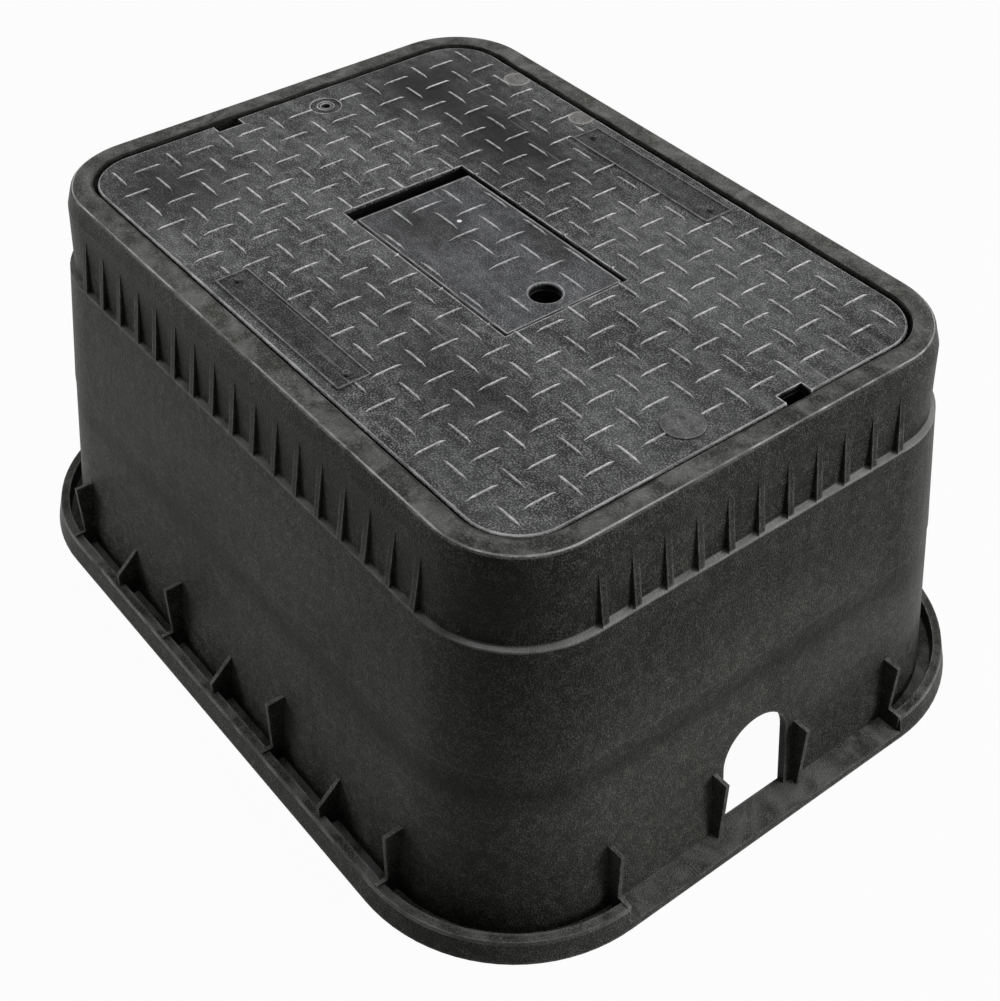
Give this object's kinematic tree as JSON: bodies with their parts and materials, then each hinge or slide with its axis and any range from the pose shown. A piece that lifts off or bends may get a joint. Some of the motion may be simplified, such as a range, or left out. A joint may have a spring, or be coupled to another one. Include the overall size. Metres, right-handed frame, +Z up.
{
  "type": "water meter box",
  "caption": "Deep rectangular plastic box for a buried water meter, with a ribbed collar, a treaded drop-in cover and a small hinged reading door.",
  "frame": {"origin": "middle of the base, on the ground", "axes": "+Z up; +X along the long side, towards the end with the door's finger hole"},
  "size_m": [0.6582, 0.5112, 0.3061],
  "materials": {
    "box_plastic": "satin, scuffed",
    "cover_plastic": "satin, scuffed",
    "door_plastic": "satin, scuffed"
  },
  "bodies": {
    "box": {"box_body": "box_plastic", "cover": "cover_plastic"},
    "door": {"reader_door": "door_plastic"}
  },
  "joints": [
    {"name": "reader_door_hinge", "type": "hinge", "parent": "box", "child": "door", "pos_m": [-0.07505, 0, 0.2953], "axis": [0, -1, 0], "range_deg": [0, 115]}
  ]
}
